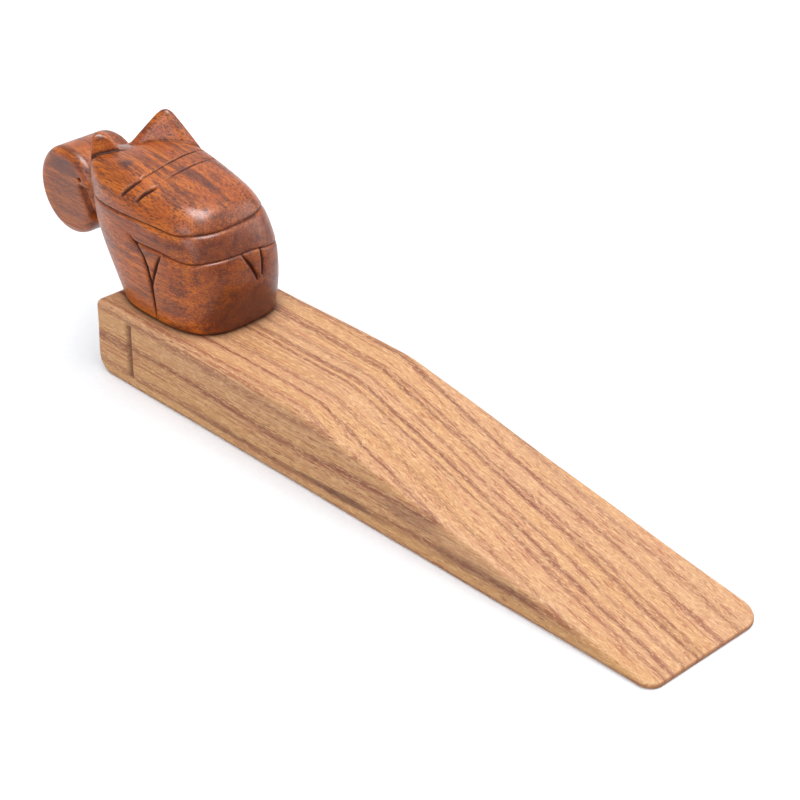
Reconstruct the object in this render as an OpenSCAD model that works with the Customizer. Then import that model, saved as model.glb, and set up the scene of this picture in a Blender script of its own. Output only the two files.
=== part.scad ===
// Door wedge with a carved cat.
// A hardwood block has a level seat at its thick end and a ramp down to a thin tip.
// A cat, carved from one piece of wood with its tail, stands on the seat and leans
// back over the thick end. Two countersunk screws from below hold it.
//
// Frame: millimetres, +X towards the thin tip, +Y across the block, +Z up.
// The origin is the centre of the block's flat underside.

/* [Wedge block] */
// Length of the block
wedge_l = 180; // [160:1:220]
// Width of the block
wedge_w = 36.7; // [34:0.1:45]
// Height of the block at its thick end
wedge_h = 19.9; // [18:0.1:26]
// Length of the level seat, before the ramp starts
seat_l = 73.5; // [60:0.5:90]
// Thickness left at the thin tip
tip_t = 1.3; // [1.2:0.1:3]
// Rounding of the upper long edges
edge_r = 2; // [1:0.1:2.5]
// Rounding of the lower long edges
foot_edge_r = 0.9; // [0.5:0.1:1.2]
// Rounding of the rear edge at the underside
heel_r = 4.5; // [2:0.5:6]
// Rounding of the tip's two corners, seen from above
tip_corner_r = 5; // [2:0.5:8]

/* [Cat] */
// Height of the cat from the seat to the top of its head, without the ears
cat_h = 34.4; // [30:0.2:40]
// Half the width of the cat at its widest
cat_half_w = 15.1; // [13:0.1:16]
// Depth of the line carved under the head
neck_line_d = 0.7; // [0.4:0.1:1.2]
// Depth of the line carved across the chest
chest_line_d = 0.5; // [0.3:0.1:1]
// Height of the ear tips above the seat
ear_h = 40.6; // [37:0.2:46]
// Distance from the centre plane to each ear's tip
ear_y = 9.8; // [8:0.2:11]

/* [Tail] */
// Outer radius of the curled tail
tail_r = 10.9; // [9:0.1:11.5]
// Width of the tail, across the block
tail_w = 16.4; // [12:0.2:20]
// How far the curl's centre lies behind the block's rear face
tail_back = 23.2; // [21:0.2:26]
// Height of the curl's centre above the seat
tail_up = 17.8; // [17:0.2:20]

/* [Screws] */
// Diameter of each screw's shank and thread
screw_d = 4; // [3.5:0.1:4.5]
// Length of each screw
screw_l = 35; // [30:1:38]
// Diameter of each screw's countersunk head
screw_head_d = 8; // [7:0.1:9]
// How deep each head sits below the underside
screw_sink = 0.5; // [0.3:0.1:1]
// Distance from the block's rear face to the rear screw
rear_screw_x = 12; // [11:0.5:14]
// Distance between the two screws
screw_pitch = 16; // [14:0.5:17]

/* [Hidden] */

rear_x = -wedge_l / 2;
ramp_drop = wedge_h - tip_t;
ramp_run = wedge_l - seat_l;
ramp_angle = atan(ramp_drop / ramp_run);
past = 10;                       // how far a cutting solid runs past what it cuts
flare = 2;                       // how far a prism's spare faces lean out, see block_blank
arc_steps = 6;
hull_fn = 24;

side_mark_x = 12.6;              // shallow upright score on the block's near side
side_mark_w = 1.2;
side_mark_d = 0.45;
side_mark_z = [4, 17];

bore_clearance = 0.1;            // radial room round each shank in the block
head_h = (screw_head_d - screw_d) / 2;
recess_w = 4.6;                  // cross recess in each screw's head
recess_t = 1;
recess_d = 1.5;
point_h = 5;

// Side and front shape of the cat, from the seat up. Each station holds the height
// as a share of cat_h, the rear and the front as distances from the block's rear
// face, and the half width as a share of cat_half_w.
stations = [
  [0.00,  3.6, 36.2, 0.93],
  [0.03,  2.6, 37.3, 0.97],
  [0.12, -0.1, 37.8, 0.99],
  [0.27, -4.0, 38.3, 1.00],
  [0.42, -7.0, 38.5, 1.00],
  [0.57, -8.2, 37.8, 0.99],
  [0.69, -9.0, 36.6, 0.98],
  [0.76, -9.3, 35.8, 0.97],
  [0.85, -9.4, 31.8, 0.92],
  [0.92, -9.0, 26.6, 0.83],
  [0.97, -8.0, 18.5, 0.69],
  [1.00, -5.0, 10.0, 0.45]
];
chest_line_z = 0.575 * cat_h;
chest_line_from = 12;            // the chest line starts this far forward on each flank
neck_line_z = 0.735 * cat_h;     // height of the neck line where x is neck_line_x
neck_line_x = 12;
neck_line_rise = 0.055;          // it climbs from the back to the face by this slope
line_half_w = 0.9;
crown_rise = 0.2;                // the very top of the head stands this much above its last ring
crown_x = 2;
foot_mid_x = 20;
ring_steps = 48;
layer_steps = 38;
front_power = 2.7;               // roundness of the section's front corners
back_power = 4.2;                // roundness of its rear corners

ear_tip_r = 1.2;
ear_root_z = 0.84 * cat_h;
ear_tip_x = -4.3;
ear_root_h = 1;
ear_root = [[-8.6, 0], [-8.4, 12.4], [5.2, 12.4], [6, 9], [-2, 2]];
tail_edge_r = 2.4;
tail_neck_half_w = 6.3;
tail_neck_low = 1;               // the neck starts this much above the curl's lowest point
tail_neck_h = 17.8;
curl_hole_r = 1.1;
curl_x = -17.2;                  // centre of the curl's small hole
curl_up = 4;                     // and its height above the curl's own centre
slit_w = 0.6;
slit_l = 9;
slit_tilt = 66;

mark_w = 0.8;                    // width of the carved leg and chest marks
chest_x = 38.5;                  // how far forward the chest reaches
// Both ends and the depth of each stroke. The ends are [x, z] on the flanks, where the strokes
// draw a Y for the hind leg, and [y, z] on the chest. Strokes that meet differ in depth.
flank_marks = [
  [[10.6, 19.6], [17.4, 13.8], 0.7],
  [[17.2, 14.6], [19.4, 1], 0.9],
  [[22.3, 19], [18.9, 9.5], 0.6]
];
chest_marks = [
  [[-4, 20.4], [2, 11.5], 0.8],
  [[5.2, 19.4], [3.4, 11.5], 0.8]
];
eye_line_x = [8.6, 13.6];
eye_line_w = 0.7;
eye_line_d = 0.7;
eye_line_low = 0.9;              // the lines end at this share of cat_h on each flank
eye_skew = 8;
head_shoulder_r = 7;

function arc(cx, cy, r, from, to) =
  [for (i = [0:arc_steps]) let (a = from + (to - from) * i / arc_steps) [cx + r * cos(a), cy + r * sin(a)]];

function rounded_rect(x0, x1, y0, y1, r00, r10, r11, r01) = concat(
  arc(x0 + r00, y0 + r00, r00, 180, 270),
  arc(x1 - r10, y0 + r10, r10, 270, 360),
  arc(x1 - r11, y1 - r11, r11, 0, 90),
  arc(x0 + r01, y1 - r01, r01, 90, 180)
);

// Smooth interpolation through the stations, with slopes taken from the neighbours.
function last(v) = len(v) - 1;
function span_of(h, i = 0) = i >= last(stations) - 1 || h < stations[i + 1][0] ? i : span_of(h, i + 1);
function chord(i, k) = (stations[i + 1][k] - stations[i][k]) / (stations[i + 1][0] - stations[i][0]);
function slope(i, k) =
  i == 0 ? chord(0, k) : i == last(stations) ? chord(i - 1, k) : (chord(i - 1, k) + chord(i, k)) / 2;
function station(h, k) =
  let (
    i = span_of(h),
    w = stations[i + 1][0] - stations[i][0],
    t = (h - stations[i][0]) / w
  )
  stations[i][k] * (1 + 2 * t) * pow(1 - t, 2)
  + stations[i + 1][k] * t * t * (3 - 2 * t)
  + slope(i, k) * w * t * pow(1 - t, 2)
  - slope(i + 1, k) * w * t * t * (1 - t);

function signed_pow(v, p) = sign(v) * pow(abs(v), p);
function notch(distance, depth) = depth * max(0, 1 - abs(distance) / line_half_w);
function carved(x, z) =
  (x > chest_line_from ? notch(z - chest_line_z, chest_line_d) : 0)
  + notch(z - neck_line_z - neck_line_rise * (x - neck_line_x), neck_line_d);

// One point of the cat's skin: h is the share of the height, a the angle round it.
function skin_point(h, a) =
  let (
    z = h * cat_h,
    rear = station(h, 1),
    front = station(h, 2),
    half_w = station(h, 3) * cat_half_w,
    p = 2 / (cos(a) > 0 ? front_power : back_power),
    x = (rear + front) / 2 + (front - rear) / 2 * signed_pow(cos(a), p),
    y = half_w * signed_pow(sin(a), p),
    d = carved(x, z)
  )
  [x - d * cos(a), y - d * sin(a), z];

module cat_skin() {
  layers = [for (j = [0:layer_steps]) 1 - pow(1 - j / layer_steps, 1.25)];
  points = [for (h = layers) for (i = [0:ring_steps - 1]) skin_point(h, 360 * i / ring_steps)];
  last_ring = layer_steps * ring_steps;
  foot_centre = len(points);
  crown_centre = foot_centre + 1;
  sides = [
    for (j = [0:layer_steps - 1]) for (i = [0:ring_steps - 1]) for (half = [0, 1])
      let (k = (i + 1) % ring_steps, low = j * ring_steps, high = low + ring_steps)
      half == 0 ? [low + i, high + i, high + k] : [low + i, high + k, low + k]
  ];
  ends = [
    for (i = [0:ring_steps - 1]) for (end = [0, 1])
      let (k = (i + 1) % ring_steps)
      end == 0 ? [i, k, foot_centre] : [last_ring + k, last_ring + i, crown_centre]
  ];
  centres = [[foot_mid_x, 0, 0], [crown_x, 0, cat_h + crown_rise]];
  polyhedron(concat(points, centres), concat(sides, ends), convexity = 6);
}

// A broad ear: a ridge runs from its tip down to the middle of the head.
module ear(side) {
  hull() {
    translate([ear_tip_x, side * (ear_y - 0.4), ear_h - ear_tip_r])
      sphere(r = ear_tip_r, $fn = hull_fn);
    translate([0, 0, ear_root_z])
      linear_extrude(height = ear_root_h)
        polygon([for (p = ear_root) [p[0], side * p[1]]]);
  }
}

module tail() {
  difference() {
    union() {
      translate([-tail_back, 0, tail_up])
        rotate([90, 0, 0])
          rotate_extrude($fn = 56)
            polygon(concat(
              [[0, -tail_w / 2]],
              arc(tail_r - tail_edge_r, -tail_w / 2 + tail_edge_r, tail_edge_r, 270, 360),
              arc(tail_r - tail_edge_r, tail_w / 2 - tail_edge_r, tail_edge_r, 0, 90),
              [[0, tail_w / 2]]
            ));
      translate([-tail_back, -tail_neck_half_w, tail_up - tail_r + tail_neck_low])
        cube([tail_back, 2 * tail_neck_half_w, tail_neck_h]);
    }
    // centre of the curl, and the slit from it towards the body
    translate([curl_x, 0, tail_up + curl_up]) {
      rotate([90, 0, 0])
        cylinder(r = curl_hole_r, h = tail_w + past, center = true, $fn = 8);
      rotate([0, slit_tilt, 0])
        translate([slit_l / 2, 0, 0])
          cube([slit_l, 2 * tail_w, slit_w], center = true);
    }
  }
}

// A carved stroke on a flank, between two points given as [x, z].
module flank_stroke(side, from, to, depth) {
  run = to - from;
  translate([from[0], side * (cat_half_w - depth + past / 2), from[1]])
    rotate([0, -atan2(run[1], run[0]), 0])
      translate([norm(run) / 2, 0, 0])
        cube([norm(run), past, mark_w], center = true);
}

// A carved stroke on the chest, between two points given as [y, z].
module chest_stroke(from, to, depth) {
  run = to - from;
  translate([chest_x - depth + past / 2, from[0], from[1]])
    rotate([atan2(run[1], run[0]), 0, 0])
      translate([0, norm(run) / 2, 0])
        cube([past, norm(run), mark_w], center = true);
}

module leg_lines() {
  for (side = [-1, 1], mark = flank_marks)
    flank_stroke(side, mark[0], mark[1], mark[2]);
  for (mark = chest_marks)
    chest_stroke(mark[0], mark[1], mark[2]);
}

// Two closed-eye lines that run over the head from flank to flank.
module eye_lines() {
  for (x = eye_line_x)
    translate([x, 0, 0])
      rotate([0, 0, eye_skew])
        rotate([90, 0, 90])
          linear_extrude(height = eye_line_w, center = true)
            difference() {
              translate([-2 * cat_half_w, eye_line_low * cat_h])
                square([4 * cat_half_w, cat_h]);
              polygon(rounded_rect(
                eye_line_d - cat_half_w, cat_half_w - eye_line_d, 0, cat_h - eye_line_d,
                head_shoulder_r, head_shoulder_r, head_shoulder_r, head_shoulder_r
              ));
            }
}

module screw_places() {
  for (x = [rear_screw_x, rear_screw_x + screw_pitch])
    translate([rear_x + x, 0, 0])
      children();
}

module cat_figure() {
  color("saddlebrown")
    difference() {
      translate([rear_x, 0, wedge_h])
        difference() {
          union() {
            cat_skin();
            ear(-1);
            ear(1);
            tail();
          }
          leg_lines();
          eye_lines();
        }
      screw_places()
        cylinder(d = screw_d, h = screw_sink + screw_l, $fn = 48);
    }
}

// The block is what four prisms have in common. Each prism gives some of the faces and
// flares away from the others by a small angle, so that no two of their faces coincide.
module block_blank() {
  half_w = wedge_w / 2;
  tip_x = -rear_x;
  side = concat(
    arc(rear_x + heel_r, heel_r, heel_r, 180, 270),
    [[tip_x + past, -flare], [tip_x + past, wedge_h + flare]],
    arc(rear_x + edge_r, wedge_h - edge_r, edge_r, 90, 180)
  );
  plan = concat(
    arc(rear_x + edge_r, edge_r - half_w, edge_r, 180, 270),
    [[0, -half_w - flare]],
    arc(tip_x - tip_corner_r, tip_corner_r - half_w, tip_corner_r, 270, 360),
    arc(tip_x - tip_corner_r, half_w - tip_corner_r, tip_corner_r, 0, 90),
    [[0, half_w + flare]],
    arc(rear_x + edge_r, half_w - edge_r, edge_r, 90, 180),
    [[rear_x - flare, 0]]
  );
  level_section = rounded_rect(
    -half_w, half_w, 0, wedge_h, foot_edge_r, foot_edge_r, edge_r, edge_r
  );
  ramp_section = concat(
    [[-half_w - flare, -2 * wedge_h], [half_w + flare, -2 * wedge_h]],
    arc(half_w - edge_r, -edge_r, edge_r, 0, 90),
    arc(edge_r - half_w, -edge_r, edge_r, 90, 180)
  );
  intersection() {
    translate([0, wedge_w, 0])
      rotate([90, 0, 0])
        linear_extrude(height = 2 * wedge_w)
          polygon(side);
    translate([0, 0, -past])
      linear_extrude(height = wedge_h + 2 * past)
        polygon(plan);
    translate([rear_x - past, 0, 0])
      rotate([90, 0, 90])
        linear_extrude(height = wedge_l + 2 * past)
          polygon(level_section);
    translate([rear_x + seat_l, 0, wedge_h])
      rotate([0, ramp_angle, 0])
        translate([-wedge_l, 0, 0])
          rotate([90, 0, 90])
            linear_extrude(height = 2 * wedge_l)
              polygon(ramp_section);
  }
}

module wedge_block() {
  color("burlywood")
    difference() {
      block_blank();
      screw_places() {
        translate([0, 0, -past])
          cylinder(d = screw_d + 2 * bore_clearance, h = wedge_h + 2 * past, $fn = 48);
        translate([0, 0, -past])
          cylinder(d = screw_head_d, h = past + screw_sink, $fn = 48);
        translate([0, 0, screw_sink])
          cylinder(
            d1 = screw_head_d, d2 = screw_d + 2 * bore_clearance, h = head_h - bore_clearance, $fn = 48
          );
      }
      translate([
        rear_x + side_mark_x - side_mark_w / 2, -wedge_w / 2 - past, side_mark_z[0]
      ])
        cube([side_mark_w, past + side_mark_d, side_mark_z[1] - side_mark_z[0]]);
    }
}

// A countersunk wood screw, head down, its thread drawn as a plain cylinder.
module screw() {
  translate([0, 0, screw_sink])
    difference() {
      union() {
        cylinder(d1 = screw_head_d, d2 = screw_d, h = head_h, $fn = 48);
        cylinder(d = screw_d, h = screw_l - point_h, $fn = 48);
        translate([0, 0, screw_l - point_h])
          cylinder(d1 = screw_d, d2 = 0.6, h = point_h, $fn = 48);
      }
      for (turn = [0, 90])
        rotate([0, 0, turn])
          translate([-recess_w / 2, -recess_t / 2, -past])
            cube([recess_w, recess_t, past + recess_d]);
    }
}

module rear_screw() {
  color("silver")
    translate([rear_x + rear_screw_x, 0, 0])
      screw();
}

module front_screw() {
  color("silver")
    translate([rear_x + rear_screw_x + screw_pitch, 0, 0])
      screw();
}

wedge_block();
cat_figure();
rear_screw();
front_screw();
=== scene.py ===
"""Looks of a wooden door wedge with a carved cat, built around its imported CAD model.

The block, the cat and the screws are each sculpted as a signed distance field: rounded bodies
are blended, the carved lines and bores are cut into the field, and its zero surface becomes the
mesh.

The carving code works in millimetres from the block's rear face (x), the centre plane (y) and the
seat (z). Meshes and everything else are in metres, in the CAD frame.
"""

import math

import bpy
import numpy as np
import openvdb
from mathutils import Matrix, Vector


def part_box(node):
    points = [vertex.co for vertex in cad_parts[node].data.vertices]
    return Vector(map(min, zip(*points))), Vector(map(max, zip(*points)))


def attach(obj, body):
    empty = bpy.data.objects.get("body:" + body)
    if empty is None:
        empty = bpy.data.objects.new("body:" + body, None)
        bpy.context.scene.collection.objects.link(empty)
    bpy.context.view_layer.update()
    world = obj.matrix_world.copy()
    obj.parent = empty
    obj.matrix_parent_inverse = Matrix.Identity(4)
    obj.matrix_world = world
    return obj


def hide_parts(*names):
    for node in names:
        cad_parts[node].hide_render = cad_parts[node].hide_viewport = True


MM = 0.001

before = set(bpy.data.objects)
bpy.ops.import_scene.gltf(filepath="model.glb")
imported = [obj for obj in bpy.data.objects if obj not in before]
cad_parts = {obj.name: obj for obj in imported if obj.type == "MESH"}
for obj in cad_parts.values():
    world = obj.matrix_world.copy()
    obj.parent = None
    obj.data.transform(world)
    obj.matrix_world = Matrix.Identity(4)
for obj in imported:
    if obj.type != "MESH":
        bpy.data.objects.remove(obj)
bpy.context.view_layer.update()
block_low, block_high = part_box("wedge_block")
seat = Vector((block_low.x, 0.0, block_high.z))  # origin of the carving code

BLOCK_L = (block_high.x - block_low.x) / MM
BLOCK_HALF_W = (block_high.y - block_low.y) / 2 / MM
BLOCK_H = (block_high.z - block_low.z) / MM


# ---------------------------------------------------------------- field helpers

def smoothstep(low, high, v):
    t = np.clip((v - low) / (high - low), 0.0, 1.0)
    return t * t * (3 - 2 * t)


def between(ends, share):
    return ends[0] + (ends[1] - ends[0]) * share


def round_max(a, b, r):
    """Intersection of two fields whose shared edge is rounded with radius r."""
    a, b = a + r, b + r
    outside = np.hypot(np.maximum(a, 0), np.maximum(b, 0))
    return np.minimum(np.maximum(a, b), 0) + outside - r


def soft_max(a, b, k):
    return np.maximum(a, b) + np.maximum(k - np.abs(a - b), 0) ** 2 / (4 * k)


def soft_min(a, b, k):
    return -soft_max(-a, -b, k)


def through(points, at):
    """Values of a smooth curve through listed points, whose first column is the parameter."""
    points = np.array(points, float)
    t = points[:, 0]
    values = points[:, 1:]
    chords = np.diff(values, axis=0) / np.diff(t)[:, None]
    slopes = np.vstack([chords[:1], (chords[:-1] + chords[1:]) / 2, chords[-1:]])
    at = np.clip(at, t[0], t[-1])
    i = np.clip(np.searchsorted(t, at, side="right") - 1, 0, len(t) - 2)
    w = (t[i + 1] - t[i])[..., None]
    s = ((at - t[i])[..., None]) / w
    out = (
        values[i] * (1 + 2 * s) * (1 - s) ** 2
        + values[i + 1] * s * s * (3 - 2 * s)
        + slopes[i] * w * s * (1 - s) ** 2
        - slopes[i + 1] * w * s * s * (1 - s)
    )
    return np.moveaxis(out, -1, 0)


def box_field(d, half):
    """Field of a box: d holds the distances from its middle, half its half sizes."""
    q = [np.abs(a) - b for a, b in zip(d, half)]
    outside = np.sqrt(sum(np.maximum(a, 0) ** 2 for a in q))
    return outside + np.minimum(np.maximum.reduce(q), 0)


# ---------------------------------------------------------------- screws and their bores

SCREW_R = 2.0
SCREW_CORE_R = 1.45
SCREW_L = 35.0
SCREW_SINK = 0.5  # depth of the head below the underside
HEAD_R = 4.0
HEAD_H = HEAD_R - SCREW_R
HEAD_BLEND = 0.4
THREAD_PITCH = 1.8
THREAD_START = 13.0
THREAD_FLANK = (0.25, 0.95)  # where the thread rises, in parts of half its pitch
POINT_H = 5.0
CROSS_W = 4.6
CROSS_T = 1.0
CROSS_D = 1.5
CROSS_EDGE = 0.2
BORE_GAP = 0.1
# These bring the fields of the screw's point and of its countersink near true distances.
POINT_SCALE = 0.9
SINK_SCALE = 0.8


def screw_xs():
    """Distance of each screw from the block's rear face."""
    return [
        sum(corner.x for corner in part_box(node)) / 2 / MM - seat.x / MM
        for node in ("rear_screw", "front_screw")
    ]


def screw_field(x, y, z):
    """A countersunk wood screw, head down, with z up from the face of its head."""
    radius = np.hypot(x, y)
    turn = np.arctan2(y, x) / (2 * math.pi)
    phase = np.abs(((z / THREAD_PITCH - turn) % 1.0) - 0.5) * 2
    thread = (SCREW_R - SCREW_CORE_R) * smoothstep(*THREAD_FLANK, phase)
    shank = radius - np.where(z > THREAD_START, SCREW_CORE_R + thread, SCREW_R)
    cone_r = SCREW_CORE_R * np.clip((SCREW_L - z) / POINT_H, 0, 1)
    point = (radius - thread - cone_r) * POINT_SCALE
    shank = np.maximum(np.where(z > SCREW_L - POINT_H, point, shank), z - SCREW_L)
    head = np.maximum((radius - (HEAD_R - z)) * math.sqrt(0.5), z - HEAD_H)
    body = np.maximum(soft_min(shank, head, HEAD_BLEND), -z)
    arm = np.minimum(
        box_field((x, y, z), (CROSS_W / 2, CROSS_T / 2, CROSS_D)),
        box_field((x, y, z), (CROSS_T / 2, CROSS_W / 2, CROSS_D)),
    )
    return soft_max(body, -arm, CROSS_EDGE)


def cut_block_bores(f, x, y, z):
    """The countersunk screw holes in the block, cut from its underside."""
    up = z + BLOCK_H
    for screw_x in screw_xs():
        radius = np.hypot(x - screw_x, y)
        shank = radius - SCREW_R - BORE_GAP
        sink = (radius - (HEAD_R + BORE_GAP - np.maximum(up - SCREW_SINK, 0))) * SINK_SCALE
        f = np.maximum(f, -np.minimum(shank, sink))
    return f


def cut_cat_bores(f, x, y, z):
    """The pilot holes in the cat, closed at the top."""
    top = SCREW_SINK + SCREW_L - BLOCK_H
    for screw_x in screw_xs():
        radius = np.hypot(x - screw_x, y)
        f = np.maximum(f, -np.maximum(radius - SCREW_R - BORE_GAP, z - top))
    return f


# ---------------------------------------------------------------- the block's shape

SEAT_L = 73.4
TIP_T = 1.3
RAMP_RUN = BLOCK_L - SEAT_L
RAMP_SLOPE = math.atan2(BLOCK_H - TIP_T, RAMP_RUN)
BREAK_SOFTNESS = 0.5
HEEL_R = 4.6
TOP_EDGE_R = (0.2, 1.9)  # rounding of the top, along the seat and at its rear edge
TOP_EDGE_X = (20.0, 8.0)  # where it changes
SIDE_EDGE_R = (0.9, 1.3)  # rounding of the long edges, at the foot and at the top
SIDE_EDGE_Z = (0.3, 0.7)  # where it changes, in parts of the thickness
SANDING = ((0.16, 19.0), (0.10, 6.3))  # how hand sanding varies it: shares and lengths
EDGE_SHARE = 0.42  # largest rounding, as a share of the block's thickness there
FAR_TIP_R = 6.0
NEAR_TIP_R = 3.6

# The score on the near side: x of its crisp edge, its width and depth, its height span and how
# fast it fades out at each end.
SCORE_X = 13.6
SCORE_W = 1.9
SCORE_EDGE_W = 0.25
SCORE_D = 0.7
SCORE_Z = (-17.8, -1.8)
SCORE_FADE = (1.2, 1.5)
SCORE_SHADE_W = 1.6 * SCORE_W
SCORE_SHADE_D = 1.0  # how far in from the near side the painted shade reaches
SCORE_SHADE = (0.85, 0.8)  # strength of the painted shade behind the edge, and per unit of the score's depth


def tip_plan_field(x, y):
    """Plan outline of the block, open at the rear, with a rounded corner on each side of the tip."""
    r = np.where(y > 0, FAR_TIP_R, NEAR_TIP_R)
    a = x - BLOCK_L + r
    b = np.abs(y) - BLOCK_HALF_W + r
    return np.hypot(np.maximum(a, 0), np.maximum(b, 0)) + np.minimum(np.maximum(a, b), 0) - r


def score_span(y, z):
    """1 at the heights of the near side's score, fading out at both ends."""
    low, high = SCORE_Z
    low_fade, high_fade = SCORE_FADE
    return smoothstep(low, low + low_fade, z) * smoothstep(high, high - high_fade, z) * (y < 0)


def score_depth(x, y, z):
    """Depth of the score: steep at its crisp edge and slanting up towards the rear."""
    back = SCORE_X - x
    slant = np.clip(1 - back / SCORE_W, 0, 1)
    edge = np.clip(1 + back / SCORE_EDGE_W, 0, 1)
    return SCORE_D * np.where(back > 0, slant, edge) * score_span(y, z)


def score_shade(x, y, z):
    """Painted shade on the near side, in the score and behind it."""
    near = y < SCORE_SHADE_D - BLOCK_HALF_W
    strip = smoothstep(SCORE_X - SCORE_SHADE_W, SCORE_X, x) * (x < SCORE_X) * near
    behind, deep = SCORE_SHADE
    return np.clip(behind * strip * score_span(y, z) + deep * score_depth(x, y, z), 0, 1)


def block_field(x, y, z):
    """The wedge: seat and ramp above, a rounded heel below, and edges sanded by hand."""
    ramp = z * math.cos(RAMP_SLOPE) + (x - SEAT_L) * math.sin(RAMP_SLOPE)
    upper = soft_max(z, ramp, BREAK_SOFTNESS)
    lower = round_max(-z - BLOCK_H, -x, HEEL_R)
    profile = round_max(upper, lower, between(TOP_EDGE_R, smoothstep(*TOP_EDGE_X, x)))
    thickness = BLOCK_H - np.maximum(x - SEAT_L, 0) * math.tan(RAMP_SLOPE)
    (long, long_l), (short, short_l) = SANDING
    sanding = 1 + long * np.sin(x / long_l + np.sign(y)) + short * np.sin(x / short_l + 2.0)
    edge_r = between(SIDE_EDGE_R, smoothstep(*SIDE_EDGE_Z, (z + BLOCK_H) / thickness))
    edge_r = np.minimum(edge_r * sanding, EDGE_SHARE * thickness)
    f = round_max(profile, tip_plan_field(x, y), edge_r)
    f = f + score_depth(x, y, z)
    return cut_block_bores(f, x, y, z)


# ---------------------------------------------------------------- the cat's shape

# Height above the seat, rear and front of the level section, and its half width.
SECTIONS = [
    [-3.0, 3.0, 35.2, 14.2],
    [0.0, 0.5, 36.2, 14.7],
    [3.0, -1.5, 37.0, 14.9],
    [7.0, -4.2, 37.8, 15.1],
    [12.0, -7.6, 38.3, 15.2],
    [17.5, -10.2, 37.9, 15.2],
    [21.0, -10.9, 36.8, 15.1],
    [25.0, -11.3, 35.6, 15.0],
    [29.0, -11.6, 35.0, 15.0],
    [36.0, -11.0, 34.6, 14.8],
]
SECTION_POWER = 3.0  # 2 would make each section an ellipse
# Height of the top of the head along the centre plane.
HEAD_TOP = [
    [-14.0, 32.6],
    [-6.0, 33.8],
    [3.0, 34.4],
    [10.0, 33.7],
    [16.0, 32.8],
    [22.0, 31.7],
    [27.0, 30.4],
    [31.0, 28.6],
    [35.0, 25.6],
    [39.0, 21.0],
]
# The dip of the head's rear edge between the ears: depth, place and width across the head, and
# the x where it starts and where it is deepest.
SADDLE_D = 1.8
SADDLE_Y = 2.0
SADDLE_W = 4.5
SADDLE_X = (-1.0, -10.0)
CROWN_R = (110.0, 48.0)  # radius of the crown across the head, at its rear and at its front
CROWN_X = (-4.0, 22.0)
SHOULDER_R = (1.4, 6.5)  # rounding of the head's edge, at its rear and further forward
SHOULDER_X = (-8.0, 3.0)
FOOT_R = 0.9
HAND_D = 0.16  # unevenness of the surface, which was carved by hand
SLOPE_STEP = 0.5  # over which the slope of the head's top is measured


def section_field(x, y, z):
    """The cat's upright wall: a level section at each height, between an ellipse and a box."""
    rear, front, half_w = through(SECTIONS, z)
    half_l = (front - rear) / 2
    u = np.abs(x - (rear + front) / 2) / half_l + 1e-6
    v = np.abs(y) / half_w + 1e-6
    total = u**SECTION_POWER + v**SECTION_POWER
    size = total ** (1 / SECTION_POWER)
    gradient = np.hypot(
        (u / size) ** (SECTION_POWER - 1) / half_l,
        (v / size) ** (SECTION_POWER - 1) / half_w,
    )
    return (size - 1) / gradient


def head_top_field(x, y, z):
    """The head's top: a line along the centre plane, crowned across, with a dip at the rear."""
    (top,) = through(HEAD_TOP, x)
    (ahead,) = through(HEAD_TOP, x + SLOPE_STEP)
    slope = (ahead - top) / SLOPE_STEP
    crown_r = between(CROWN_R, smoothstep(*CROWN_X, x))
    saddle = SADDLE_D * np.exp(-(((y - SADDLE_Y) / SADDLE_W) ** 2)) * smoothstep(*SADDLE_X, x)
    drop = y**2 / (2 * crown_r) + saddle
    return (z - top + drop) / np.sqrt(1 + slope**2 + (y / crown_r) ** 2)


def body_field(x, y, z):
    """The cat's body and head without ears, tail and carved lines."""
    shoulder_r = between(SHOULDER_R, smoothstep(*SHOULDER_X, x))
    f = round_max(section_field(x, y, z), head_top_field(x, y, z), shoulder_r)
    hand = HAND_D * np.sin(x / 5.1 + 1.0) * np.sin(y / 4.3 + 0.5) * np.sin(z / 6.2 + 2.0)
    return round_max(f + hand, -z, FOOT_R)


# The far ear is a pyramid: its tip and the points round its root.
FAR_EAR_TIP = [-4.1, 10.0, 44.8]
FAR_EAR_ROOT = [
    [-8.5, -0.5, 33.0],
    [2.6, 7.2, 33.4],
    [7.9, 11.9, 31.8],
    [5.8, 16.2, 27.0],
    [-9.5, 14.5, 30.0],
]
FAR_EAR_SOFTNESS = 3.4

# The near ear runs on from the head's wall: a point and the direction of each plane that cuts it.
NEAR_EAR_FRONT = ((-4.7, -6.9, 32.6), (0.80, -0.51, 0.24))
NEAR_EAR_INSIDE = ((-6.2, -5.3, 36.0), (0.20, 0.85, 0.50))
NEAR_EAR_ROOT_Z = 31.0
NEAR_EAR_TOP = 38.1
NEAR_EAR_LEAN = 0.05  # how much the wall leans inwards per unit of height
NEAR_EAR_EDGE = 0.7
NEAR_EAR_SOFTNESS = 1.8

EAR_FOOT_Z = 27.0  # neither ear reaches below this
EAR_BLEND = 0.2


def plane_field(plane, x, y, z):
    (px, py, pz), (nx, ny, nz) = plane
    return ((x - px) * nx + (y - py) * ny + (z - pz) * nz) / math.sqrt(nx * nx + ny * ny + nz * nz)


def near_ear_field(x, y, z):
    """The near ear: a piece of the head's wall, cut off in front, inside and at the top."""
    level = np.minimum(z, NEAR_EAR_ROOT_Z)
    wall = section_field(x, y, level) + NEAR_EAR_LEAN * (z - NEAR_EAR_ROOT_Z)
    f = soft_max(wall, plane_field(NEAR_EAR_FRONT, x, y, z), NEAR_EAR_EDGE)
    f = soft_max(f, plane_field(NEAR_EAR_INSIDE, x, y, z), NEAR_EAR_SOFTNESS)
    return soft_max(f, z - NEAR_EAR_TOP, NEAR_EAR_SOFTNESS)


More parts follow.
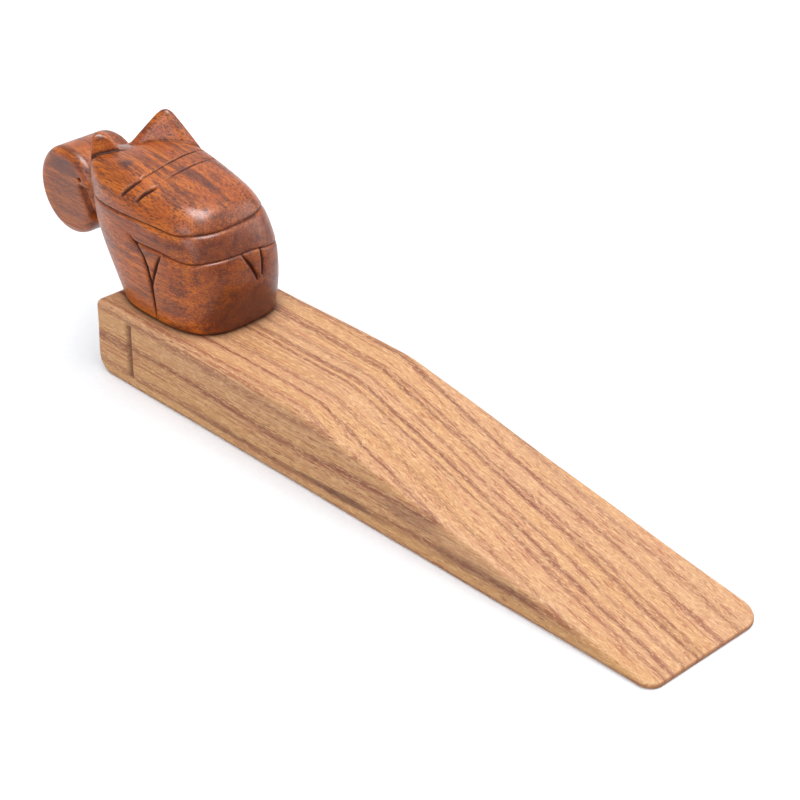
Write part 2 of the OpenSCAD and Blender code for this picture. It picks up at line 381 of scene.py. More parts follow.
def far_ear_field(x, y, z):
    """The far ear: a plane from its tip through each edge of its root."""
    tip = np.array(FAR_EAR_TIP)
    root = np.array(FAR_EAR_ROOT)
    middle = root.mean(axis=0)
    f = np.full(np.shape(x), -1e3)
    for a, b in zip(root, np.roll(root, -1, axis=0)):
        normal = np.cross(a - tip, b - tip)
        if normal @ (middle - tip) > 0:
            normal = -normal
        f = soft_max(f, plane_field((tip, normal), x, y, z), FAR_EAR_SOFTNESS)
    return f


TAIL_CENTRE = (-23.3, 17.3)  # x and z of the curl
TAIL_R = 11.4
TAIL_MIDDLE_Y = 0.5
TAIL_HALF_W = 8.7
TAIL_EDGE_R = 2.4
TAIL_END_X = -4.0  # the tail ends this far inside the body
TAIL_BLEND = 1.2
TAIL_NECK_CENTRE = (-12.0, 17.6)  # x and z of the short neck between curl and body
TAIL_NECK_HALF = (8.0, 5.0, 4.6)  # half sizes, without the rounding that goes all round
TAIL_NECK_R = 1.5
TAIL_NECK_BLEND = 2.0
CURL_HOLE = (-17.4, 22.4, 0.55)  # x, z and radius
CURL_HOLE_EDGE = 0.5
CURL_SLIT = ((-17.3, 20.8), (-13.0, 12.5))  # from the hole down, x and z
SLIT_W = 0.6
SLIT_D = 1.3
SLIT_FOOT_Z = (12.0, 13.5)
SLIT_FACE_Y = (5.5, 6.5)  # the slit is cut into the curl's two faces, not through it
SLIT_TOP_FADE = 0.6
CURL_STEP = 1.1  # how far the face steps back between the slit and the body
CURL_STEP_W = (-0.2, 0.6)  # where it steps back, past the slit


def curl_slit(x, z):
    """Distance past the curl's slit, and a mask of the heights that it spans."""
    (ax, az), (bx, bz) = CURL_SLIT
    length = math.hypot(bx - ax, bz - az)
    past = ((x - ax) * (az - bz) + (z - az) * (bx - ax)) / length
    return past, smoothstep(az + SLIT_TOP_FADE, az - SLIT_TOP_FADE, z)


def tail_field(x, y, z):
    """The curled tail: a thick disc on a short neck, with a hole through it and a slit in each face."""
    cx, cz = TAIL_CENTRE
    y = y - TAIL_MIDDLE_Y
    past, spanned = curl_slit(x, z)
    step = CURL_STEP * smoothstep(*CURL_STEP_W, past) * spanned
    disc = round_max(np.hypot(x - cx, z - cz) - TAIL_R, np.abs(y) - TAIL_HALF_W + step, TAIL_EDGE_R)
    neck_x, neck_z = TAIL_NECK_CENTRE
    neck = box_field((x - neck_x, y, z - neck_z), TAIL_NECK_HALF) - TAIL_NECK_R
    f = soft_min(disc, neck, TAIL_NECK_BLEND)
    slit = spanned * smoothstep(*SLIT_FOOT_Z, z) * smoothstep(*SLIT_FACE_Y, np.abs(y))
    f = f + notch(past, SLIT_W, SLIT_D) * slit
    hole_x, hole_z, hole_r = CURL_HOLE
    hole = np.hypot(x - hole_x, z - hole_z) - hole_r
    return soft_max(f, -hole, CURL_HOLE_EDGE)


# ---------------------------------------------------------------- carved lines

STROKE_SWELL = 0.4  # below 1, a stroke soon reaches its full width


def notch(distance, width, depth):
    """A rounded V cut, a third of its depth left at width from its middle."""
    return depth * np.exp(-((distance / width) ** 2))


def stroke(u, v, points, width, depth):
    """A carved stroke along points in the plane (u, v), narrow at its ends."""
    points = np.array(points, float)
    spans = np.diff(points, axis=0)
    lengths = np.hypot(spans[:, 0], spans[:, 1])
    starts = np.concatenate([[0], np.cumsum(lengths)])
    nearest = np.full(np.shape(u), 1e9)
    along = np.zeros(np.shape(u))
    for (pu, pv), (du, dv), length, start in zip(points, spans, lengths, starts):
        t = np.clip(((u - pu) * du + (v - pv) * dv) / length**2, 0, 1)
        away = np.hypot(u - pu - t * du, v - pv - t * dv)
        closer = away < nearest
        nearest = np.where(closer, away, nearest)
        along = np.where(closer, (start + t * length) / starts[-1], along)
    taper = np.clip(np.sin(math.pi * along), 0, 1) ** STROKE_SWELL
    return notch(nearest, width * (0.5 + 0.5 * taper), depth * taper)


# Strokes on the flanks, [x, z], and on the chest, [y, z], each with its width and depth.
LEG_STROKES = [
    (
        [[10.3, 20.4], [13.8, 18.4], [16.2, 16.0], [17.4, 13.8], [18.6, 9.5], [19.2, 5.0], [19.4, 0.3]],
        0.5,
        1.1,
    ),
    ([[22.5, 18.9], [21.2, 16.2], [20.2, 13.5], [19.3, 10.8], [18.9, 9.0]], 0.45, 0.9),
]
CHEST_STROKES = [
    ([[-1.5, 19.3], [0.1, 16.6], [1.2, 14.0], [1.8, 12.0]], 0.45, 1.0),
    ([[4.3, 19.3], [4.0, 16.4], [3.1, 12.9]], 0.45, 1.0),
]
STROKE_TOP_Z = 24.0  # no leg stroke reaches above this
FLANK_Y = (5.0, 9.0)  # the leg strokes fade in over this distance from the centre plane
CHEST_X = (28.0, 31.0)  # and the chest strokes over this stretch of the body

# Height of the neck line and of the chest line along the body, [x, z].
NECK_LINE = [
    [-12.0, 23.4],
    [0.0, 24.3],
    [8.0, 24.7],
    [16.0, 25.1],
    [21.0, 25.0],
    [26.0, 24.6],
    [30.0, 24.9],
    [40.0, 25.0],
]
CHEST_LINE = [
    [9.0, 18.9],
    [14.6, 19.1],
    [22.0, 19.3],
    [27.0, 18.7],
    [31.0, 18.5],
    [34.5, 19.2],
    [37.0, 19.6],
]
# Across the front the neck line rises and the chest line falls, each from its y to the far side,
# and this sets in over a short stretch of the body.
NECK_RISE = 0.04
NECK_RISE_Y = -13.0
NECK_RISE_X = (27.0, 31.0)
CHEST_FALL = 0.15
CHEST_FALL_Y = 2.0
CHEST_FALL_X = (30.0, 34.0)
NECK_LINE_W = (0.24, 0.45)  # width above its middle and below it
NECK_LINE_D = 0.5
CHEST_LINE_W = 0.32
CHEST_LINE_D = 0.5
CHEST_LINE_START = (9.5, 15.0)  # it deepens from nothing over this stretch of the body


def carving(x, y, z):
    """Depth of the carved lines at each point."""
    (neck_height,) = through(NECK_LINE, x)
    neck = z - neck_height - NECK_RISE * (y - NECK_RISE_Y) * smoothstep(*NECK_RISE_X, x)
    depth = notch(neck, np.where(neck > 0, *NECK_LINE_W), NECK_LINE_D)
    (chest_height,) = through(CHEST_LINE, x)
    fall = CHEST_FALL * np.maximum(y - CHEST_FALL_Y, 0)
    chest = z - chest_height + fall * smoothstep(*CHEST_FALL_X, x)
    depth = depth + notch(chest, CHEST_LINE_W, CHEST_LINE_D) * smoothstep(*CHEST_LINE_START, x)
    flank = smoothstep(*FLANK_Y, np.abs(y))
    for points, width, deep in LEG_STROKES:
        depth = depth + stroke(x, z, points, width, deep) * flank * (z < STROKE_TOP_Z)
    front = smoothstep(*CHEST_X, x)
    for points, width, deep in CHEST_STROKES:
        depth = depth + stroke(y, z, points, width, deep) * front
    return depth


# Eye lines over the head, [y, x] from the near flank to the far one, with their width and depth.
EYE_STROKES = [
    ([[-14.3, 7.8], [-12.2, 9.6], [-10.0, 10.6]], 0.45, 1.0),
    ([[-10.8, 10.5], [-5.9, 10.1], [-2.0, 9.4]], 0.30, 0.6),
    ([[-3.8, 9.8], [1.7, 8.7], [5.2, 8.0], [8.0, 7.8], [12.0, 7.2]], 0.36, 0.8),
    ([[-13.9, 12.7], [-12.2, 13.7], [-10.6, 14.7], [-9.0, 15.3]], 0.45, 1.0),
    ([[-6.6, 14.5], [-2.9, 13.9], [0.1, 13.6], [5.0, 12.9], [8.0, 12.6], [11.5, 12.0]], 0.36, 0.7),
]
EYE_Z = (27.5, 29.0)  # the eye lines fade in over these heights, so they stay on the head's top


def eye_carving(x, y, z):
    """Depth of the eye lines at each point."""
    high = smoothstep(*EYE_Z, z)
    depth = 0
    for points, width, deep in EYE_STROKES:
        depth = depth + stroke(y, x, points, width, deep) * high
    return depth


def all_carving(x, y, z):
    return carving(x, y, z) + eye_carving(x, y, z)


# How wide the painted shade in the creases at the ears is, and for each ear its strength and the y and
# the z over which it fades in.
CREASE_SHADE_W = 0.9
NEAR_CREASE_SHADE = (0.95, (-3.0, -4.5), (31.0, 32.0))
FAR_CREASE_SHADE = (0.6, (1.0, 3.0), (31.0, 32.5))


def crease_shade(share, across, heights, gap, y, z):
    """Painted shade in an ear's crease, where gap is the squared distance from it."""
    fade = smoothstep(*across, y) * smoothstep(*heights, z)
    return share * fade * np.exp(-gap / CREASE_SHADE_W**2)


def ear_crease_shade(x, y, z):
    """Painted shade in the sharp corners where the ears rise from the head."""
    body = body_field(x, y, z) ** 2
    near = plane_field(NEAR_EAR_FRONT, x, y, z) ** 2 + body
    far = far_ear_field(x, y, z) ** 2 + body
    return crease_shade(*NEAR_CREASE_SHADE, near, y, z) + crease_shade(*FAR_CREASE_SHADE, far, y, z)


def cat_field(x, y, z):
    """The whole cat, with its carved lines and its pilot holes."""
    f = body_field(x, y, z) + all_carving(x, y, z)
    for ear in (near_ear_field, far_ear_field):
        f = soft_min(f, np.maximum(ear(x, y, z), EAR_FOOT_Z - z), EAR_BLEND)
    f = soft_min(f, np.maximum(tail_field(x, y, z), x - TAIL_END_X), TAIL_BLEND)
    return cut_cat_bores(f, x, y, z)


# ---------------------------------------------------------------- meshing

CAT_STEPS = (0.45, 0.28)
CAT_GRID = ((-37, -18, -1.5), (41, 18, 45))
BLOCK_STEPS = (0.8, 0.5)
BLOCK_GRID = ((-1.5, -20, -21.5), (181.5, 20, 1.5))
SCREW_STEPS = (0.3, 0.2)
# This grid starts off the round numbers, so that none of its points lies exactly on a face.
SCREW_GRID = ((-4.67, -4.73, -0.71), (4.7, 4.7, SCREW_L + 0.7))
OUTSIDE = 10.0  # the field's value beyond its grid
GRADIENT_STEP = 0.02
FLATTEST = 0.25  # least squared gradient that a point is moved by
CUT_SHADE = 1.5  # painted shade per unit of depth of the cat's carved lines
TAIL_FRONT_X = -12.0  # the carved lines get no painted shade behind this
CONTACT_SHADE_FADE = 1.1  # how far the painted shade reaches out from under the cat
CONTACT_SHADE_D = 1.0  # how far down from the seat the painted shade reaches


def field_mesh(field, grid_box, steps, passes=3):
    """Points and quads of a field's zero surface, in the carving code's millimetres."""
    low, high = grid_box
    voxel = steps[1]
    axes = [np.arange(a, b + voxel, voxel) for a, b in zip(low, high)]
    grid = np.empty([len(a) for a in axes], np.float32)
    y, z = np.meshgrid(axes[1], axes[2], indexing="ij")
    for i, x in enumerate(axes[0]):
        grid[i] = field(np.full_like(y, x), y, z)
    volume = openvdb.FloatGrid(OUTSIDE)
    volume.copyFromArray(grid)
    points, _, quads = volume.convertToPolygons(isovalue=0.0, adaptivity=0.0)
    points = np.array(points, float) * voxel + np.array(low)
    for _ in range(passes):
        value = field(*points.T)
        gradient = np.empty_like(points)
        for axis in range(3):
            step = np.zeros(3)
            step[axis] = GRADIENT_STEP
            rise = field(*(points + step).T) - field(*(points - step).T)
            gradient[:, axis] = rise / (2 * GRADIENT_STEP)
        push = value / np.maximum((gradient**2).sum(axis=1), FLATTEST)
        points -= gradient * np.clip(push, -voxel, voxel)[:, None]
    return points, np.array(quads, int)


def mesh_object(name, points, faces, origin=seat):
    """A smooth-shaded object from points in millimetres from origin."""
    mesh = bpy.data.meshes.new(name)
    world = points * MM + np.array(origin)
    mesh.from_pydata(world.tolist(), [], faces.tolist())
    mesh.validate()
    mesh.shade_smooth()
    made = bpy.data.objects.new(name, mesh)
    bpy.context.scene.collection.objects.link(made)
    return made


def paint(piece, name, values):
    """Stores one number per vertex, which the piece's material reads by name."""
    layer = piece.data.attributes.new(name, "FLOAT", "POINT")
    layer.data.foreach_set("value", np.asarray(values, np.float32))


def make_cat():
    points, faces = field_mesh(cat_field, CAT_GRID, CAT_STEPS)
    piece = mesh_object("carved_cat", points, faces)
    on_body = points[:, 0] > TAIL_FRONT_X
    # Painted shade in the carved lines and in the creases at the ears.
    cut = CUT_SHADE * all_carving(*points.T) * on_body + ear_crease_shade(*points.T)
    paint(piece, "carved", np.clip(cut, 0, 1))
    return piece


def make_block():
    points, faces = field_mesh(block_field, BLOCK_GRID, BLOCK_STEPS)
    piece = mesh_object("hand_sanded_block", points, faces)
    x, y, z = points.T
    from_cat = np.maximum(section_field(x, y, np.zeros_like(x)), 0)
    # Painted shade in the score and behind its crisp edge.
    paint(piece, "carved", score_shade(x, y, z))
    # Painted shade on the seat round the foot of the cat.
    paint(piece, "contact_shade", np.exp(-from_cat / CONTACT_SHADE_FADE) * (z > -CONTACT_SHADE_D))
    return piece


def make_screws():
    points, faces = field_mesh(screw_field, SCREW_GRID, SCREW_STEPS, passes=2)
    pieces = []
    for name, screw_x in zip(("rear_wood_screw", "front_wood_screw"), screw_xs()):
        foot = Vector((seat.x + screw_x * MM, 0, block_low.z + SCREW_SINK * MM))
        pieces.append(mesh_object(name, points, faces, foot))
    return pieces


cat = make_cat()
block = make_block()
screws = make_screws()


# ---------------------------------------------------------------- materials

FRAY = 0.8  # how far the edge of a dark mark frays, in parts of its reach


def tint(red, green, blue):
    """A colour given as 0 to 255 values on a display."""
    return [*(((v / 255 + 0.055) / 1.055) ** 2.4 for v in (red, green, blue)), 1.0]


class Shader:
    """A material under construction, with short calls for the nodes that these woods need."""

    def __init__(self, name):
        self.material = bpy.data.materials.new(name)
        self.material.use_nodes = True
        self.tree = self.material.node_tree
        self.surface = self.tree.nodes["Principled BSDF"]
        coords = self.tree.nodes.new("ShaderNodeTexCoord")
        self.normal = self.split(coords.outputs["Normal"])
        self.place = self.vector("SCALE", coords.outputs["Object"], scale=1 / MM)  # in millimetres
        self.x, self.y, self.z = self.split(self.place)

    def feed(self, socket, value):
        if isinstance(value, bpy.types.NodeSocket):
            self.tree.links.new(value, socket)
        else:
            socket.default_value = value

    def split(self, vector):
        node = self.tree.nodes.new("ShaderNodeSeparateXYZ")
        self.feed(node.inputs[0], vector)
        return node.outputs[0], node.outputs[1], node.outputs[2]

    def join(self, x, y, z):
        node = self.tree.nodes.new("ShaderNodeCombineXYZ")
        for socket, value in zip(node.inputs, (x, y, z)):
            self.feed(socket, value)
        return node.outputs[0]

    def math(self, operation, *values):
        node = self.tree.nodes.new("ShaderNodeMath")
        node.operation = operation
        for socket, value in zip(node.inputs, values):
            self.feed(socket, value)
        return node.outputs[0]

    def vector(self, operation, a, b=None, scale=None):
        node = self.tree.nodes.new("ShaderNodeVectorMath")
        node.operation = operation
        self.feed(node.inputs[0], a)
        if b is not None:
            self.feed(node.inputs[1], b)
        if scale is not None:
            node.inputs["Scale"].default_value = scale
        return node.outputs[0]

    def noise(self, place, stretch, detail, roughness=0.5, offset=0.0):
        """Noise from 0 to 1 whose cells measure 1/stretch millimetres along each axis."""
        scaled = self.vector("MULTIPLY", place, stretch)
        moved = self.vector("ADD", scaled, (offset, offset * 0.7, offset * 0.4))
        node = self.tree.nodes.new("ShaderNodeTexNoise")
        self.feed(node.inputs["Vector"], moved)
        node.inputs["Scale"].default_value = 1.0
        node.inputs["Detail"].default_value = detail
        node.inputs["Roughness"].default_value = roughness
        return node.outputs["Fac"]

    def cells(self, place, stretch):
        """Distance to the nearest point of a random lattice with 1/stretch millimetre cells."""
        node = self.tree.nodes.new("ShaderNodeTexVoronoi")
        self.feed(node.inputs["Vector"], self.vector("MULTIPLY", place, stretch))
        node.inputs["Scale"].default_value = 1.0
        return node.outputs["Distance"]

    def span(self, value, low, high, to_low=0.0, to_high=1.0, smooth=True):
        """Value from low to high remapped to to_low to to_high, and clamped."""
        node = self.tree.nodes.new("ShaderNodeMapRange")
        node.interpolation_type = "SMOOTHSTEP" if smooth else "LINEAR"
        for socket, number in zip(node.inputs, (value, low, high, to_low, to_high)):
            self.feed(socket, number)
        return node.outputs[0]

    def mix(self, share, a, b):
        node = self.tree.nodes.new("ShaderNodeMix")
        node.data_type = "RGBA"
        self.feed(node.inputs["Factor"], share)
        self.feed(node.inputs["A"], a)
        self.feed(node.inputs["B"], b)
        return node.outputs["Result"]

    def layer(self, color, pattern, low, high, share, over):
        """Lays over on color, up to share, where pattern rises from low to high."""
        return self.mix(self.span(pattern, low, high, 0.0, share), color, over)

    def glaze(self, color, pattern, share, over):
        """Lays over on color in proportion to pattern."""
        return self.mix(self.math("MULTIPLY", pattern, share), color, over)

    def marks(self, color, places, over):
        """Lays soft-edged marks on color: each has its middle, reach and strength."""
        for centre, reach, strength in places:
            color = self.glaze(color, self.patch(centre, reach), strength, over)
        return color

    def pores(self, place, stretch, reach, cluster_stretch, cluster_span):
        """1 in the wood's pores, which come in clusters, and 0 between them."""
        pore = self.span(self.cells(place, stretch), *reach, 1.0, 0.0)
        cluster = self.noise(place, cluster_stretch, 1.0, offset=13.0)
        return self.math("MULTIPLY", pore, self.span(cluster, *cluster_span))

    def sway(self, noise, reach):
        """A shift of up to half of reach to each side."""
        return self.math("MULTIPLY", self.math("SUBTRACT", noise, 0.5), reach)

    def patch(self, centre, reach):
        """A soft-edged ellipsoid at a given place in millimetres, frayed along the grain."""
        away = self.vector("SUBTRACT", self.place, centre)
        shrunk = self.vector("DIVIDE", away, reach)
        node = self.tree.nodes.new("ShaderNodeVectorMath")
        node.operation = "LENGTH"
        self.feed(node.inputs[0], shrunk)
        fray = self.noise(self.place, (0.08, 1.3, 1.3), 3.0, 0.7, offset=centre[0])
        distance = self.math("ADD", node.outputs["Value"], self.math("MULTIPLY", fray, 2 * FRAY))
        return self.span(distance, 0.4 + FRAY, 0.9 + FRAY, 1.0, 0.0)

    def lines(self, value, low, high, peaks):
        """Lines at given places: peaks holds [place, half width, strength] in rising order."""
        node = self.tree.nodes.new("ShaderNodeValToRGB")
        self.feed(node.inputs[0], self.span(value, low, high, smooth=False))
        ramp = node.color_ramp
        ramp.elements[1].position = 1.0
        ramp.elements[1].color = (0, 0, 0, 1)
        for place, half, strength in peaks:
            for at, level in ((place - half, 0.0), (place, strength), (place + half, 0.0)):
                stop = ramp.elements.new(np.clip((at - low) / (high - low), 0.001, 0.999))
                stop.color = (level, level, level, 1)
        return node.outputs["Color"]

    def attribute(self, name):
        node = self.tree.nodes.new("ShaderNodeAttribute")
        node.attribute_name = name
        return node.outputs["Fac"]

    def finish(
        self,
        color,
        roughness,
        height,
        depth,
        coat=0.0,
        coat_roughness=0.2,
        specular=0.5,
        metallic=0.0,
    ):
        """Wires the surface: height is the bump field and depth its reach in millimetres."""
        bump = self.tree.nodes.new("ShaderNodeBump")
        bump.inputs["Strength"].default_value = 1.0
        bump.inputs["Distance"].default_value = depth * MM
        self.feed(bump.inputs["Height"], height)
        self.feed(self.surface.inputs["Normal"], bump.outputs[0])
        self.feed(self.surface.inputs["Base Color"], color)
        self.feed(self.surface.inputs["Roughness"], roughness)
        self.feed(self.surface.inputs["Coat Weight"], coat)
        self.surface.inputs["Coat Roughness"].default_value = coat_roughness
        self.surface.inputs["Specular IOR Level"].default_value = specular
        self.surface.inputs["Metallic"].default_value = metallic
        return self.material


# Reddish-brown streaks of the light wood: distance across the growth rings, half width, strength.
LIGHT_STREAKS = [
    [-30.0, 1.0, 0.6],
    [-25.3, 0.8, 1.0],
    [-21.0, 1.2, 0.5],
    [-14.2, 0.8, 0.8],
    [-11.6, 1.0, 1.0],
    [-8.3, 0.8, 0.7],
    [-4.1, 1.0, 1.0],
    [-2.5, 0.6, 0.8],
    [3.0, 1.1, 0.9],
    [9.0, 1.7, 0.5],
]
RING_TILT = 0.66  # how far a growth ring moves across the block per unit of height

# Dark mineral marks in the block's near side: middle, reach and strength.
BLOCK_MARKS = [
    ((-2.0, -18.4, 3.8), (20.0, 3.0, 1.3), 0.7),
    ((-40.0, -18.4, 3.4), (40.0, 3.0, 0.7), 0.4),
    ((22.0, -18.4, 9.0), (14.0, 2.4, 3.0), 0.35),
    ((40.0, -18.4, 5.0), (24.0, 2.4, 2.2), 0.4),
]


def light_hardwood():
    s = Shader("light_hardwood")
    wander = s.sway(s.noise(s.place, (0.012, 0.05, 0.05), 1.0), 5.0)
    waver = s.sway(s.noise(s.place, (0.06, 0.5, 0.5), 2.0, offset=7.0), 1.3)
    ring = s.math("SUBTRACT", s.y, s.math("MULTIPLY", s.z, RING_TILT))
    ring = s.math("ADD", s.math("ADD", ring, wander), waver)
    ring_place = s.join(s.x, ring, s.math("MULTIPLY", s.z, 0.7))

    tone = s.noise(ring_place, (0.010, 0.14, 0.14), 2.0, offset=3.0)
    color = s.mix(s.span(tone, 0.35, 0.65), tint(203, 149, 95), tint(204, 151, 107))
    band = s.noise(ring_place, (0.005, 0.5, 0.3), 3.0, 0.65, offset=11.0)
    color = s.layer(color, band, 0.48, 0.72, 0.45, tint(184, 108, 72))
    thread = s.noise(ring_place, (0.007, 1.7, 1.3), 3.0, 0.7, offset=21.0)
    color = s.layer(color, thread, 0.53, 0.62, 0.66, tint(156, 82, 50))
    streak = s.lines(ring, -36.0, 20.0, LIGHT_STREAKS)
    broken = s.span(s.noise(ring_place, (0.03, 0.3, 0.3), 2.0, offset=5.0), 0.3, 0.62, 0.75, 1.0)
    color = s.glaze(color, streak, broken, tint(126, 58, 36))

    fibre = s.noise(ring_place, (0.26, 3.0, 3.0), 3.0, 0.7, offset=2.0)
    color = s.layer(color, fibre, 0.46, 0.62, 0.18, tint(150, 82, 50))
    # Pale flecks: painted glints where the fibre catches the light; the relief raises them too.
    glint_fleck = s.noise(s.place, (0.50, 2.6, 2.6), 3.0, 0.7, offset=9.0)
    color = s.layer(color, glint_fleck, 0.50, 0.62, 0.40, tint(244, 200, 144))
    pore = s.pores(ring_place, (0.26, 2.8, 2.8), (0.14, 0.27), (0.03, 0.35, 0.35), (0.40, 0.60))
    side = s.math("ABSOLUTE", s.normal[1])
    color = s.glaze(color, pore, s.span(side, 0.35, 0.9, 0.28, 0.75), tint(116, 62, 40))

    # The sides a touch darker and browner than the top: partly their grain, partly painted shade.
    color = s.layer(color, side, 0.35, 0.9, 0.06, tint(150, 104, 68))
    # Painted shade along the block's foot, where it meets the floor.
    foot_shade = s.span(s.z, 0.3, 1.4, 0.45, 0.0)
    color = s.mix(foot_shade, color, tint(128, 62, 40))
    end_grain = s.span(s.math("ABSOLUTE", s.normal[0]), 0.5, 0.95)
    color = s.glaze(color, end_grain, 0.55, tint(150, 92, 55))
    color = s.marks(color, BLOCK_MARKS, tint(92, 46, 32))
    # Painted shade in the score and behind its crisp edge.
    color = s.glaze(color, s.attribute("carved"), 0.8, tint(96, 52, 32))
    # Painted shade on the seat round the foot of the cat.
    color = s.glaze(color, s.attribute("contact_shade"), 0.8, tint(64, 30, 18))

    relief = s.math("SUBTRACT", s.math("ADD", fibre, s.math("MULTIPLY", glint_fleck, 0.6)), pore)
    roughness = s.span(fibre, 0.3, 0.7, 0.48, 0.62)
    return s.finish(color, roughness, relief, 0.12, coat=0.08, coat_roughness=0.35, specular=0.35)


# Dark figure in the cat's wood, and painted shade on the front's lower part: middle, reach and
# strength.
CAT_FIGURE_AND_SHADE = [
    ((-71.0, 0.6, 52.0), (9.5, 2.2, 3.0), 0.6),
    ((-86.8, -8.6, 54.0), (3.2, 2.2, 2.2), 0.85),
    ((-97.0, -1.5, 53.0), (5.0, 3.0, 2.5), 0.5),
    ((-62.0, -6.0, 41.6), (34.0, 24.0, 3.4), 0.4),
    ((-114.0, -8.0, 43.5), (8.0, 4.0, 2.6), 0.6),
    # Painted shade on the lower front, which turns away from the light.
    ((-50.0, 0.0, 24.0), (12.0, 30.0, 11.0), 0.6),
    ((-113.5, -8.0, 37.0), (13.0, 3.0, 13.0), 0.35),
    ((-78.0, -15.0, 25.6), (12.0, 4.0, 0.9), 0.5),
    ((-64.0, -13.0, 25.0), (9.0, 6.0, 1.3), 0.5),
]


def dark_hardwood():
    s = Shader("dark_hardwood")
    wander = s.vector("SCALE", s.join(0.0, s.noise(s.place, (0.03, 0.07, 0.07), 1.0), 0.0), scale=7.0)
    place = s.vector("ADD", s.place, wander)

    tone = s.noise(place, (0.02, 0.11, 0.11), 2.0, offset=4.0)
    color = s.mix(s.span(tone, 0.35, 0.65), tint(174, 82, 16), tint(164, 74, 18))
    band = s.noise(place, (0.02, 0.42, 0.42), 3.0, 0.65, offset=1.0)
    color = s.layer(color, band, 0.47, 0.62, 0.7, tint(92, 36, 10))
    gold = s.noise(place, (0.05, 0.5, 0.5), 2.0, offset=8.0)
    color = s.layer(color, gold, 0.48, 0.64, 0.7, tint(200, 104, 20))
    fibre = s.noise(place, (0.17, 2.9, 2.9), 3.0, 0.7, offset=6.0)
    color = s.layer(color, fibre, 0.44, 0.62, 0.55, tint(84, 32, 10))
    grit = s.noise(place, (0.5, 3.0, 3.0), 3.0, 0.7, offset=16.0)
    color = s.layer(color, grit, 0.50, 0.66, 0.4, tint(214, 120, 44))

    # The front faces darker: partly the end grain's own tone, partly painted shade, as only the front
    # is darkened and not the rear.
    end_grain = s.span(s.normal[0], 0.40, 0.9)
    below_ears = s.span(s.z, 50.0, 53.0, 0.5, 0.0)
    color = s.glaze(color, end_grain, below_ears, tint(84, 31, 10))
    # Dark figure in the wood, and painted shade on the lower front.
    color = s.marks(color, CAT_FIGURE_AND_SHADE, tint(78, 34, 28))

    cluster_span = (0.34, 0.56, 0.25, 1.0)
    pore = s.pores(place, (0.32, 2.5, 2.5), (0.20, 0.36), (0.05, 0.3, 0.3), cluster_span)
    color = s.glaze(color, pore, 0.65, tint(58, 22, 10))
    # Painted shade in the carved lines and the ear creases.
    color = s.layer(color, s.attribute("carved"), 0.25, 0.9, 0.92, tint(56, 22, 12))

    relief = s.math("SUBTRACT", s.math("MULTIPLY", fibre, 0.5), pore)
    roughness = s.span(fibre, 0.3, 0.7, 0.38, 0.5)
    coat = s.span(s.attribute("carved"), 0.2, 0.7, 0.55, 0.05)
    return s.finish(color, roughness, relief, 0.10, coat=coat, coat_roughness=0.31, specular=0.15)


def screw_steel():
    s = Shader("screw_steel")
    turning = s.noise(s.place, (3.0, 3.0, 9.0), 2.0, 0.6)
    blotch = s.noise(s.place, (0.5, 0.5, 0.5), 3.0, 0.6, offset=2.0)
    color = s.mix(s.span(blotch, 0.35, 0.7), (0.62, 0.62, 0.6, 1), (0.74, 0.72, 0.64, 1))
    roughness = s.span(turning, 0.3, 0.7, 0.22, 0.4)
    return s.finish(color, roughness, turning, 0.02, metallic=1.0)


def floor_paper():
    s = Shader("floor_paper")
    grain = s.noise(s.place, (0.8, 0.8, 0.8), 2.0)
    color = s.mix(s.span(grain, 0.3, 0.7), (0.90, 0.90, 0.90, 1), (0.92, 0.92, 0.92, 1))
    return s.finish(color, 0.8, grain, 0.01, specular=0.1)


def dress(piece, material, node):
    """Gives a piece its material, hangs it under the root body and hides the CAD part that it stands
    for.
    """
    piece.data.materials.append(material)
    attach(piece, "root")
    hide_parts(node)


dress(cat, dark_hardwood(), "cat_figure")
dress(block, light_hardwood(), "wedge_block")
steel = screw_steel()
for piece, node in zip(screws, ("rear_screw", "front_screw")):
    dress(piece, steel, node)


# ---------------------------------------------------------------- floor, light and camera

FLOOR_HALF = 4.0
FLOOR_CORNERS = ((-1, -1), (1, -1), (1, 1), (-1, 1))
SKY_COLOR = (0.95, 0.97, 1.0, 1.0)
SKY_STRENGTH = 0.5

# Soft lights: the way from the object to each, its strength, its width in degrees, its colour,
# and whether it lights matt surfaces and shows in glossy ones.
WHITE = (1.0, 1.0, 1.0)
OVERCAST = (0.90, 0.95, 1.0)
DAYLIGHT = (0.78, 0.88, 1.0)
LIGHTS = {
    "top": ((0.08, 0.02, 0.99), 1.55, 60, OVERCAST, True, False),
    "gleam": ((0.13, 0.05, 0.99), 5.4, 34, OVERCAST, False, True),
    "front": ((0.50, -0.10, 0.86), 0.25, 40, WHITE, True, True),
    "back": ((-0.60, 0.58, 0.55), 0.3, 60, WHITE, True, True),
    "fill": ((0.10, -0.85, 0.50), 0.60, 70, WHITE, True, False),
    "window": ((0.27, -0.84, 0.46), 1.0, 28, DAYLIGHT, True, True),
    "rim": ((0.40, 0.80, 0.45), 1.25, 40, WHITE, True, True),
}

# Places and distances in metres; the sensor's width and the lens in millimetres.
CAMERA_TARGET = Vector((0.0, 0.0, 0.015))
CAMERA_AZIMUTH = math.radians(45.84)
CAMERA_ELEVATION = math.radians(30.79)
CAMERA_ROLL = math.radians(0.37)
CAMERA_DISTANCE = 0.5118
CAMERA_ASIDE = -0.00105
CAMERA_RAISED = 0.0062
CAMERA_SENSOR = 36.0
CAMERA_LENS = 101.9


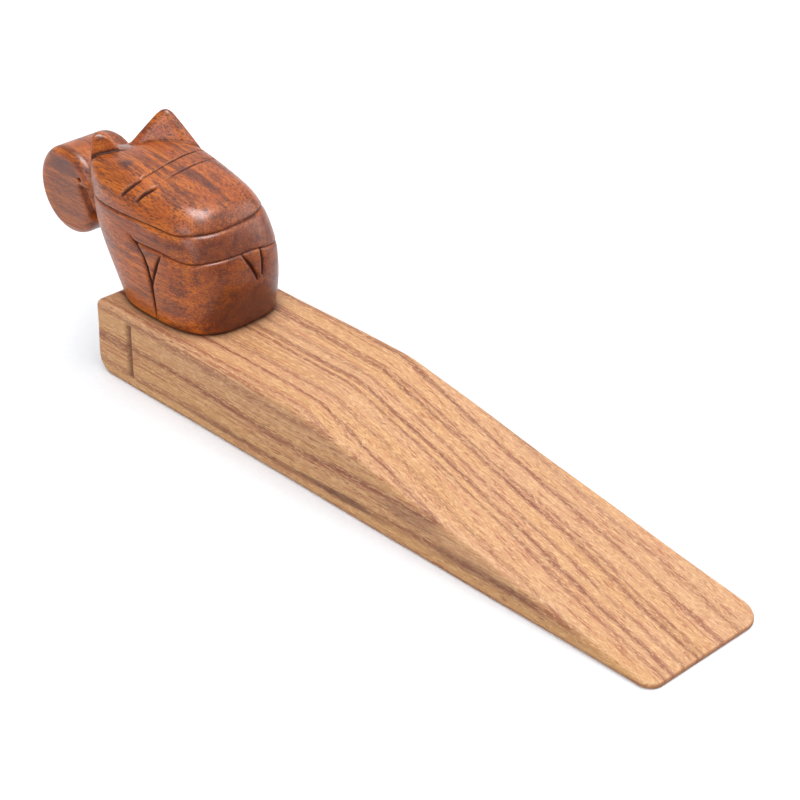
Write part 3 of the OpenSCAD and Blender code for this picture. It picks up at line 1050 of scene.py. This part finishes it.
def make_floor():
    mesh = bpy.data.meshes.new("floor")
    points = [(x * FLOOR_HALF, y * FLOOR_HALF, block_low.z) for x, y in FLOOR_CORNERS]
    mesh.from_pydata(points, [], [(0, 1, 2, 3)])
    mesh.materials.append(floor_paper())
    made = bpy.data.objects.new("floor", mesh)
    made.visible_diffuse = False  # a wide floor this bright would light the object from below
    bpy.context.scene.collection.objects.link(made)
    return made


def light_sky():
    sky = bpy.data.worlds.new("studio")
    bpy.context.scene.world = sky
    sky.use_nodes = True
    background = sky.node_tree.nodes["Background"]
    background.inputs["Color"].default_value = SKY_COLOR
    background.inputs["Strength"].default_value = SKY_STRENGTH


def make_light(name, towards, energy, width, color, matt, glossy):
    light = bpy.data.objects.new(name, bpy.data.lights.new(name, "SUN"))
    light.data.energy = energy
    light.data.angle = math.radians(width)
    light.data.color = color
    light.visible_diffuse = matt
    light.visible_glossy = glossy
    light.rotation_euler = Vector(towards).to_track_quat("Z", "Y").to_euler()
    bpy.context.scene.collection.objects.link(light)


def make_camera():
    """A camera that looks down at its target from beside the tip, rolled and shifted a little."""
    back = Vector((
        math.sin(CAMERA_AZIMUTH) * math.cos(CAMERA_ELEVATION),
        -math.cos(CAMERA_AZIMUTH) * math.cos(CAMERA_ELEVATION),
        math.sin(CAMERA_ELEVATION),
    ))
    right = Vector((0, 0, 1)).cross(back).normalized()
    up = back.cross(right)
    right, up = (
        math.cos(CAMERA_ROLL) * right + math.sin(CAMERA_ROLL) * up,
        math.cos(CAMERA_ROLL) * up - math.sin(CAMERA_ROLL) * right,
    )
    made = bpy.data.objects.new("camera", bpy.data.cameras.new("camera"))
    made.data.sensor_width = CAMERA_SENSOR
    made.data.lens = CAMERA_LENS
    turned = Matrix((right, up, back)).transposed().to_4x4()
    place = CAMERA_TARGET + CAMERA_DISTANCE * back + CAMERA_ASIDE * right + CAMERA_RAISED * up
    made.matrix_world = Matrix.Translation(place) @ turned
    bpy.context.scene.collection.objects.link(made)
    return made


floor = make_floor()
light_sky()
for light_name, settings in LIGHTS.items():
    make_light(light_name, *settings)
camera = make_camera()
bpy.context.scene.camera = camera
bpy.context.scene.view_settings.view_transform = "Standard"
